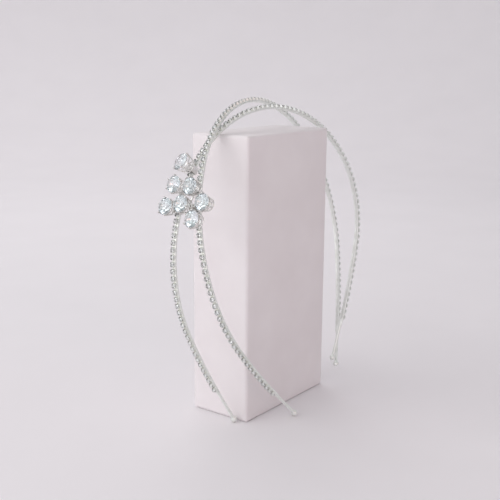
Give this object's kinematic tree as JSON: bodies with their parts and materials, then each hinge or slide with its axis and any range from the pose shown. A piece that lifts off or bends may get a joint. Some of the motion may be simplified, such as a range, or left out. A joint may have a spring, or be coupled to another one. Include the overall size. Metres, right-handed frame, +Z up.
{
  "type": "rhinestone headband on a display block",
  "caption": "Headband of crossing chains of small cupped stones with a flower of large claw-set crystals, hung on a plain upright block.",
  "frame": {"origin": "middle of the display block's base", "axes": "+X along the block from the headband's near legs, which carry the flower, to its far legs; +Z up"},
  "size_m": [0.1258, 0.0433, 0.1369],
  "materials": {
    "block": "smooth matt white paint on a sawn and sanded block",
    "plated_metal": "polished silver-tone plate over stamped brass",
    "small_stones": "clear machine-cut glass with a foiled back",
    "crystals": "clear cut and polished glass"
  },
  "bodies": {
    "root": {"display_block": "block", "outer_band": "plated_metal", "inner_band": "plated_metal", "flower_setting": "plated_metal", "top_setting": "plated_metal", "outer_band_stones": "small_stones", "inner_band_stones": "small_stones", "crystal_centre": "crystals", "crystal_petal_1": "crystals", "crystal_petal_2": "crystals", "crystal_petal_3": "crystals", "crystal_petal_4": "crystals", "crystal_petal_5": "crystals", "crystal_top": "crystals"}
  },
  "joints": []
}
